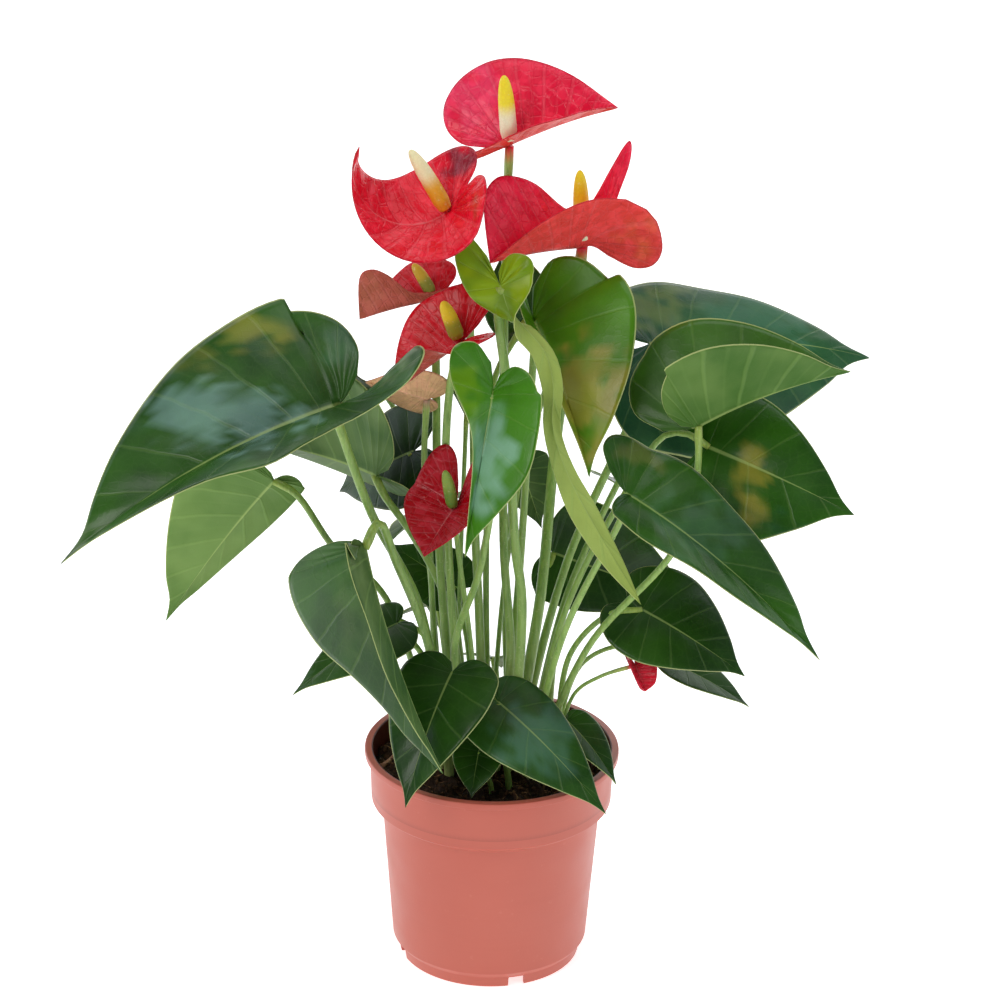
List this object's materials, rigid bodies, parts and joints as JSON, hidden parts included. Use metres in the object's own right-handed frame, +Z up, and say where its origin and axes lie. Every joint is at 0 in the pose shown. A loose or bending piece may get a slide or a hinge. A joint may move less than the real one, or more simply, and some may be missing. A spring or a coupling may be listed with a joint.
{
  "type": "potted anthurium",
  "caption": "Potted anthurium: glossy heart-shaped leaves and red spathes with yellow spadices on long stems, growing from soil in a terracotta-coloured plastic nursery pot.",
  "frame": {"origin": "on the surface that the pot stands on, under the middle of the plant's spread; the pot's axis is at x = 9.5 mm, y = 0", "axes": "+Z up along the pot's axis, -Y towards the plant's front, +X to its right seen from the front"},
  "size_m": [0.3714, 0.1874, 0.4282],
  "materials": {
    "pot_plastic": "satin terracotta-coloured plastic",
    "soil": "dark crumbly peat",
    "leaf": "waxy glossy leaf",
    "stem": "smooth green flower stem",
    "spathe": "lacquered red spathe",
    "spadix": "finely bumpy yellow spadix"
  },
  "bodies": {
    "root": {"pot": "pot_plastic", "soil": "soil", "leaf_01_left_large": "leaf", "leaf_02_left_hanging": "leaf", "leaf_03_front_left": "leaf", "leaf_04_low_left": "leaf", "leaf_05_low_front": "leaf", "leaf_06_low_right": "leaf", "leaf_07_rim_right": "leaf", "leaf_08_soil_front": "leaf", "leaf_09_young_long": "leaf", "leaf_10_centre": "leaf", "leaf_11_bright": "leaf", "leaf_12_back_right": "leaf", "leaf_13_right_pale": "leaf", "leaf_14_right": "leaf", "leaf_15_front_right": "leaf", "leaf_16_right_low": "leaf", "leaf_17_right_small": "leaf", "leaf_18_behind_right": "leaf", "leaf_19_behind_left": "leaf", "leaf_20_dark_left": "leaf", "leaf_21_inner_left": "leaf", "leaf_22_inner_small": "leaf", "leaf_23_inner_hanging": "leaf", "leaf_24_back_upright": "leaf", "leaf_25_back_grey": "leaf", "leaf_26_right_glossy": "leaf", "leaf_27_left_inner": "leaf", "leaf_28_centre_small": "leaf", "leaf_29_back_low": "leaf", "leaf_30_back_centre": "leaf", "leaf_31_back_right": "leaf", "leaf_32_back_left": "leaf", "bloom_1_top_stem": "stem", "bloom_1_top_spathe": "spathe", "bloom_1_top_spadix": "spadix", "bloom_2_left_stem": "stem", "bloom_2_left_spathe": "spathe", "bloom_2_left_spadix": "spadix", "bloom_3_right_stem": "stem", "bloom_3_right_spathe": "spathe", "bloom_3_right_spadix": "spadix", "bloom_4_back_left_stem": "stem", "bloom_4_back_left_spathe": "spathe", "bloom_4_back_left_spadix": "spadix", "bloom_5_front_red_stem": "stem", "bloom_5_front_red_spathe": "spathe", "bloom_5_front_red_spadix": "spadix", "bloom_6_small_stem": "stem", "bloom_6_small_spathe": "spathe", "bloom_6_small_spadix": "spadix", "bloom_7_bud_stem": "stem", "bloom_7_bud_spathe": "spathe", "bloom_8_faded_stem": "stem", "bloom_8_faded_spathe": "spathe", "bloom_8_faded_spadix": "spadix"}
  },
  "joints": []
}
